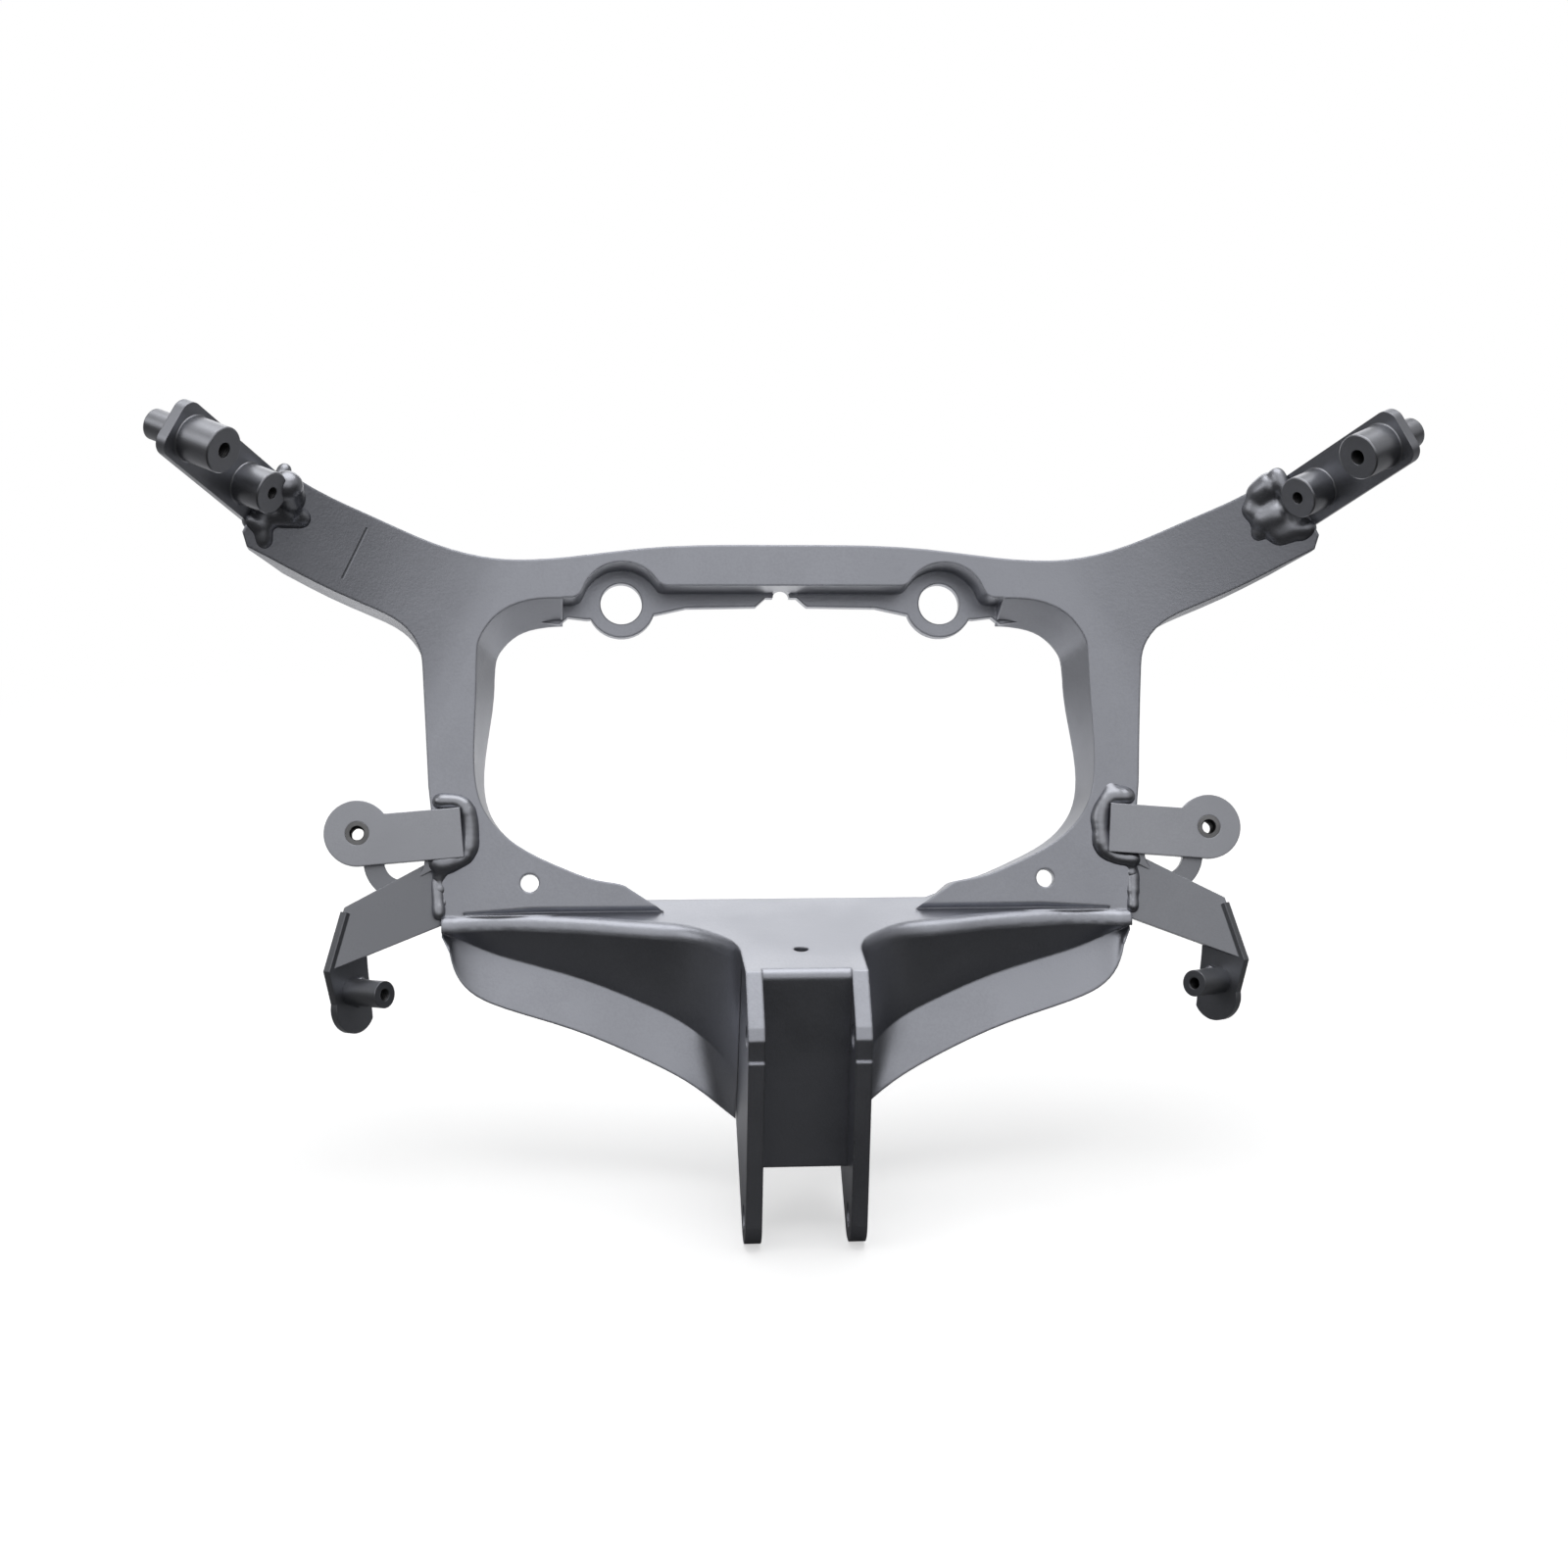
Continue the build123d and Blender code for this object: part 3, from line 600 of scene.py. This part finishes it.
def thread_mesh(base, radius, depth, pitch, height):
    """A screw thread's ridge winding down a hole whose mouth is the frame's origin."""
    places = []
    faces = []
    count = int(THREAD_STEPS * depth / pitch)
    profile = ((0.0, -RIDGE_HALF), (-height, 0.0), (0.0, RIDGE_HALF))
    for k in range(count):
        turns = k / THREAD_STEPS
        angle = 2 * math.pi * turns
        down = -THREAD_START - pitch * turns
        for inward, along in profile:
            r = radius + THREAD_SUNK + inward * min(1.0, turns / THREAD_RISE)
            local = Vector((r * math.cos(angle), r * math.sin(angle), down + along * pitch))
            places.append(base @ local)
    for k in range(count - 1):
        a = 3 * k
        faces.append((a, a + 1, a + 4, a + 3))
        faces.append((a + 1, a + 2, a + 5, a + 4))
    return places, faces


def seam_mesh(base, radius):
    """The small hollow curve of paint where a round boss meets its plate."""
    places = []
    faces = []
    for j in range(SEAM_AROUND):
        angle = 2 * math.pi * j / SEAM_AROUND
        direction = Vector((math.cos(angle), math.sin(angle), 0.0))
        for k in range(SEAM_STEPS):
            last = k == SEAM_STEPS - 1
            turn = 0.5 * math.pi * k / (SEAM_STEPS - 1)
            r = radius - SEAM_SUNK + SEAM_SIZE * (1 - math.sin(turn)) + SEAM_SUNK * last
            z = -SEAM_BELOW + SEAM_SIZE * (1 - math.cos(turn))
            places.append(base @ (direction * r + Vector((0.0, 0.0, z))))
    for j in range(SEAM_AROUND):
        for k in range(SEAM_STEPS - 1):
            a = j * SEAM_STEPS + k
            b = ((j + 1) % SEAM_AROUND) * SEAM_STEPS + k
            faces.append((a, b, b + 1, a + 1))
    return places, faces


class StayFinish(bpy.types.PropertyGroup):
    """Colours and surfaces of the stay"""

    casting_colour: bpy.props.FloatVectorProperty(
        name="Casting colour",
        description="Satin grey of the cast frame",
        default=(0.35, 0.36, 0.4),
        size=3,
        subtype="COLOR",
    )
    plate_colour: bpy.props.FloatVectorProperty(
        name="Plate colour",
        description="Satin grey of plates and tabs",
        default=(0.345, 0.353, 0.385),
        size=3,
        subtype="COLOR",
    )
    boss_colour: bpy.props.FloatVectorProperty(
        name="Boss colour",
        description="Satin grey of bosses, pegs and their seams",
        default=(0.335, 0.342, 0.37),
        size=3,
        subtype="COLOR",
    )
    # A darker grey than the casting's: painted shade where the tab and the casting shadow the brackets
    bracket_shaded_colour: bpy.props.FloatVectorProperty(
        name="Bracket colour",
        description="Darker grey of the lower brackets and their standoffs",
        default=(0.245, 0.252, 0.275),
        size=3,
        subtype="COLOR",
    )
    weld_colour: bpy.props.FloatVectorProperty(
        name="Weld colour",
        description="Grey of the painted weld beads",
        default=(0.325, 0.333, 0.365),
        size=3,
        subtype="COLOR",
    )
    insert_colour: bpy.props.FloatVectorProperty(
        name="Insert colour",
        description="Dull steel of the threads and inserts",
        default=(0.2, 0.2, 0.205),
        size=3,
        subtype="COLOR",
    )
    roughness: bpy.props.FloatProperty(
        name="Roughness",
        description="Roughness of the satin paint",
        default=0.36,
        min=0.0,
        max=1.0,
        subtype="FACTOR",
    )
    edge_radius: bpy.props.FloatProperty(
        name="Edge radius",
        description="Radius that the casting's edges seem to have",
        default=0.0011,
        min=0.0,
        max=0.003,
        unit="LENGTH",
    )
    grain_size: bpy.props.FloatProperty(
        name="Grain size",
        description="Size of the casting's surface grain",
        default=0.0009,
        min=0.0001,
        max=0.005,
        unit="LENGTH",
    )
    grain_depth: bpy.props.FloatProperty(
        name="Grain depth",
        description="Depth of the casting's surface grain",
        default=0.00007,
        min=0.0,
        max=0.0005,
        unit="LENGTH",
    )


class StayWelds(bpy.types.PropertyGroup):
    """Radii of the weld beads"""

    arm_radius: bpy.props.FloatProperty(
        name="Arm bead",
        description="Radius of the bead between arm and mirror plate",
        default=0.003,
        min=0.001,
        max=0.006,
        unit="LENGTH",
    )
    tab_radius: bpy.props.FloatProperty(
        name="Tab bead",
        description="Radius of the bead round the side tab",
        default=0.0033,
        min=0.001,
        max=0.006,
        unit="LENGTH",
    )
    bracket_radius: bpy.props.FloatProperty(
        name="Bracket bead",
        description="Radius of the bead along the bracket's sheet",
        default=0.0024,
        min=0.001,
        max=0.006,
        unit="LENGTH",
    )
    standoff_radius: bpy.props.FloatProperty(
        name="Standoff bead",
        description="Radius of the bead at the standoff's foot",
        default=0.0016,
        min=0.0005,
        max=0.004,
        unit="LENGTH",
    )


class StayThreads(bpy.types.PropertyGroup):
    """Sizes of the screw threads"""

    pitch: bpy.props.FloatProperty(
        name="Pitch",
        description="Pitch of the screw threads",
        default=0.0009,
        min=0.0003,
        max=0.002,
        unit="LENGTH",
    )
    height: bpy.props.FloatProperty(
        name="Height",
        description="Height of a thread's ridge",
        default=0.00035,
        min=0.0001,
        max=0.001,
        unit="LENGTH",
    )


class StayStudio(bpy.types.PropertyGroup):
    """Floor, lights and room"""

    floor_colour: bpy.props.FloatVectorProperty(
        name="Floor colour",
        description="Colour of the floor and backdrop",
        default=(0.93, 0.93, 0.93),
        size=3,
        subtype="COLOR",
    )
    dim_floor: bpy.props.FloatProperty(
        name="Dim floor",
        description="Grey of the floor in front, as gloss and soft light meet it",
        default=0.035,
        min=0.0,
        max=1.0,
        subtype="FACTOR",
    )
    key_power: bpy.props.FloatProperty(
        name="Key light",
        description="Power of the large light overhead",
        default=9.0,
        min=0.0,
        max=200.0,
        unit="POWER",
    )
    side_power: bpy.props.FloatProperty(
        name="Side light",
        description="Power of the light at the left",
        default=2.5,
        min=0.0,
        max=200.0,
        unit="POWER",
    )
    back_power: bpy.props.FloatProperty(
        name="Back light",
        description="Power of the light high up behind the object",
        default=2.0,
        min=0.0,
        max=200.0,
        unit="POWER",
    )
    fill: bpy.props.FloatProperty(
        name="Fill",
        description="Strength of the even light from all round",
        default=0.25,
        min=0.0,
        max=2.0,
        subtype="FACTOR",
    )
    room: bpy.props.FloatProperty(
        name="Room",
        description="Brightness of the dim room in front of the object, as gloss shows it",
        default=0.01,
        min=0.0,
        max=1.0,
        subtype="FACTOR",
    )
    sides: bpy.props.FloatProperty(
        name="Sides",
        description="Brightness of the room at both sides, as gloss shows it",
        default=0.3,
        min=0.0,
        max=1.0,
        subtype="FACTOR",
    )


class STAY_OT_finish(bpy.types.Operator):
    """Give the solids of the stay their procedural finishes"""

    bl_idname = "stay.finish"
    bl_label = "Finish the Solids"

    def execute(self, context):
        look = context.scene.stay_finish
        for name, tint, size_share, depth_share, rougher, edge_share, scratched, starts in PAINTS:
            paint = satin_paint(
                name,
                getattr(look, tint),
                look.grain_size * size_share,
                look.grain_depth * depth_share,
                look.roughness + rougher,
                look.edge_radius * edge_share,
                scratched=scratched,
            )
            assign(starts, paint)
        assign(("tab_insert",), steel("insert_steel", look.insert_colour, INSERT_ROUGHNESS))
        return {"FINISHED"}


class STAY_OT_welds(bpy.types.Operator):
    """Lay the lumpy weld beads that join plates, tabs, brackets and standoffs to what carries them"""

    bl_idname = "stay.welds"
    bl_label = "Lay the Weld Beads"

    def execute(self, context):
        sizes = context.scene.stay_welds
        look = context.scene.stay_finish
        rough = look.roughness - WELD_SMOOTHER
        paint = satin_paint("weld_paint", look.weld_colour, roughness=rough, **WELD_PAINT)
        for side, sign in SIDES:
            for k, (name, radius_name, base, points, slot) in enumerate(BEADS):
                path = [mirrored(base @ Vector(p), sign) for p in points]
                radius = getattr(sizes, radius_name) / MM
                lumps = LUMPS.get(f"{name}_{side}", ())
                seed = SWELL_BEAD_STEP * k + sign
                places, faces = weld_mesh(f"drops_{name}_{side}", path, radius, lumps, seed)
                made = add_mesh(f"{name}_drops_{side}", places, faces, paint)
                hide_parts(f"{name}_{side}")
        return {"FINISHED"}


class STAY_OT_threads(bpy.types.Operator):
    """Wind screw threads down the holes of bosses, inserts and standoffs"""

    bl_idname = "stay.threads"
    bl_label = "Wind the Threads"

    def execute(self, context):
        sizes = context.scene.stay_threads
        look = context.scene.stay_finish
        # The darker thread steel is painted shade inside the holes
        metal = steel("thread_steel", shade(look.insert_colour, THREAD_PAINTED_SHADE), THREAD_ROUGHNESS)
        pitch = sizes.pitch / MM
        height = sizes.height / MM
        for side, sign in SIDES:
            for name, base, radius, depth, slot in THREADS:
                places, faces = thread_mesh(both(base, sign), radius, depth, pitch, height)
                add_mesh(f"{name}_{side}", places, flipped(faces, sign), metal)
        return {"FINISHED"}


class STAY_OT_seams(bpy.types.Operator):
    """Draw the thin curve of paint where each boss meets its plate"""

    bl_idname = "stay.seams"
    bl_label = "Fill the Boss Seams"

    def execute(self, context):
        look = context.scene.stay_finish
        rough = look.roughness - SEAM_SMOOTHER
        paint = satin_paint("seam_paint", look.boss_colour, roughness=rough, **SEAM_PAINT)
        for side, sign in SIDES:
            for name, base, radius in SEAMS:
                places, faces = seam_mesh(both(base, sign), radius)
                add_mesh(f"{name}_{side}", places, flipped(faces, sign), paint)
        return {"FINISHED"}


class STAY_OT_studio(bpy.types.Operator):
    """Set up the pale floor, the soft lights and the camera at the photograph's angle"""

    bl_idname = "stay.studio"
    bl_label = "Set the Studio"

    def execute(self, context):
        studio = context.scene.stay_studio
        self.floor(studio)
        for name, place, target, size, power_name in LAMPS:
            self.lamp(name, place, target, size, getattr(studio, power_name))
        self.world(context.scene, studio)
        self.camera(context.scene)
        context.scene.view_settings.view_transform = "Standard"
        return {"FINISHED"}

    def floor(self, studio):
        lowest = min(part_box(name)[0].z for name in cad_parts)
        profile = [(-FLOOR_HALF, 0.0), (BEND_START, 0.0)]
        for k in range(1, BEND_STEPS + 1):
            turn = 0.5 * math.pi * k / BEND_STEPS
            profile.append((BEND_START + BEND_RADIUS * math.sin(turn), BEND_RADIUS * (1 - math.cos(turn))))
        profile.append((BEND_START + BEND_RADIUS, BACKDROP_TOP))
        points = [(x, y, z + lowest - FLOOR_GAP) for y, z in profile for x in (-FLOOR_HALF, FLOOR_HALF)]
        faces = [(2 * k, 2 * k + 1, 2 * k + 3, 2 * k + 2) for k in range(len(profile) - 1)]
        mesh = bpy.data.meshes.new("floor")
        mesh.from_pydata(points, [], faces)
        mesh.polygons.foreach_set("use_smooth", [True] * len(faces))
        mesh.materials.append(self.floor_paper(studio))
        floor = bpy.data.objects.new("floor", mesh)
        bpy.context.scene.collection.objects.link(floor)

    def floor_paper(self, studio):
        material, paint = new_material("floor_paper")
        grain = paint.grain(FLOOR_GRAIN_SCALE, detail=2.0)
        pale = paint.blend(grain, shade(studio.floor_colour, FLOOR_SHADE), shade(studio.floor_colour))
        glow = paint.node("ShaderNodeEmission", None, {"Color": WHITE, "Strength": FLOOR_GLOW})
        near = paint.node("ShaderNodeAddShader", None, {0: paint.paper(pale), 1: glow})
        far = paint.node("ShaderNodeEmission", None, {"Color": WHITE, "Strength": 1.0})
        place = paint.place()
        away = paint.between(place.length(), *WHITE_FADE)
        white = paint.node("ShaderNodeMixShader", None, {0: away, 1: near, 2: far})
        dim = paint.paper(shade((studio.dim_floor,) * 3))
        depth = place.part("Y")
        outward = abs(place.part("X")) - depth * SIDE_SPREAD
        room = paint.between(depth, *FRONT_FADE, studio.room, 1.0)
        room = room * paint.between(outward, *SIDE_FADE, 1.0, studio.sides)
        looks = paint.node("ShaderNodeMixShader", None, {0: paint.shown(room), 1: dim, 2: white})
        paint.node("ShaderNodeOutputMaterial", None, {"Surface": looks})
        return material

    def lamp(self, name, place, target, size, power):
        light = bpy.data.lights.new(name, "AREA")
        light.shape = "DISK"
        light.size = size
        light.energy = power
        lamp = bpy.data.objects.new(name, light)
        lamp.location = place
        aim = Vector(target) - Vector(place)
        lamp.rotation_euler = aim.to_track_quat("-Z", "Y").to_euler()
        bpy.context.scene.collection.objects.link(lamp)

    def world(self, scene, studio):
        world = bpy.data.worlds.new("studio")
        world.use_nodes = True
        scene.world = world
        paint = Paint(world.node_tree)
        white = paint.node("ShaderNodeBackground", None, {"Color": WHITE, "Strength": 1.0})
        black = paint.node("ShaderNodeBackground", None, {"Color": BLACK, "Strength": 1.0})
        direction = paint.node("ShaderNodeTexCoord", output="Generated")
        height = direction.part("Z")
        sky = paint.between(height, *SKY_TONE) * studio.fill
        behind = paint.between(direction.part("Y"), *WORLD_BEHIND)
        room = paint.between(height, *WORLD_RISE, studio.room, 1.0).at_least(behind)
        room = room * paint.between(abs(direction.part("X")), *WORLD_SIDES, 1.0, studio.sides)
        shown = paint.shown(room)
        bright = shown + (1.0 - shown) * sky
        mixed = paint.node("ShaderNodeMixShader", None, {0: bright, 1: black, 2: white})
        paint.node("ShaderNodeOutputWorld", None, {"Surface": mixed})

    def camera(self, scene):
        lens = bpy.data.cameras.new("camera")
        lens.lens = CAMERA_LENS
        lens.sensor_width = CAMERA_SENSOR
        camera = bpy.data.objects.new("camera", lens)
        right = CAMERA_RIGHT
        back = right.cross(CAMERA_UP).normalized()
        up = back.cross(right).normalized()
        camera.matrix_world = Matrix((right.normalized(), up, back)).transposed().to_4x4()
        camera.location = CAMERA_PLACE
        bpy.context.scene.collection.objects.link(camera)
        scene.camera = camera


class STAY_PT_panel(bpy.types.Panel):
    """Lists the settings with the button that uses them"""

    bl_idname = "STAY_PT_panel"
    bl_label = "Fairing Stay"
    bl_space_type = "VIEW_3D"
    bl_region_type = "UI"
    bl_category = "Fairing Stay"

    def draw(self, context):
        scene = context.scene
        for group, operator in (
            (scene.stay_finish, STAY_OT_finish),
            (scene.stay_welds, STAY_OT_welds),
            (scene.stay_threads, STAY_OT_threads),
            (None, STAY_OT_seams),
            (scene.stay_studio, STAY_OT_studio),
        ):
            box = self.layout.box()
            if group is not None:
                for name in group.bl_rna.properties.keys():
                    if name not in {"rna_type", "name"}:
                        box.prop(group, name)
            box.operator(operator.bl_idname)


GROUPS = (
    ("stay_finish", StayFinish),
    ("stay_welds", StayWelds),
    ("stay_threads", StayThreads),
    ("stay_studio", StayStudio),
)
CLASSES = tuple(group for _, group in GROUPS) + (
    STAY_OT_finish,
    STAY_OT_welds,
    STAY_OT_threads,
    STAY_OT_seams,
    STAY_OT_studio,
    STAY_PT_panel,
)


def register():
    for cls in CLASSES:
        bpy.utils.register_class(cls)
    for name, group in GROUPS:
        setattr(bpy.types.Scene, name, bpy.props.PointerProperty(type=group))


def unregister():
    for name, _ in reversed(GROUPS):
        delattr(bpy.types.Scene, name)
    for cls in reversed(CLASSES):
        bpy.utils.unregister_class(cls)


def main():
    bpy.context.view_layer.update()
    register()
    bpy.ops.stay.finish()
    bpy.ops.stay.welds()
    bpy.ops.stay.threads()
    bpy.ops.stay.seams()
    bpy.ops.stay.studio()


if __name__ == "__main__":
    main()
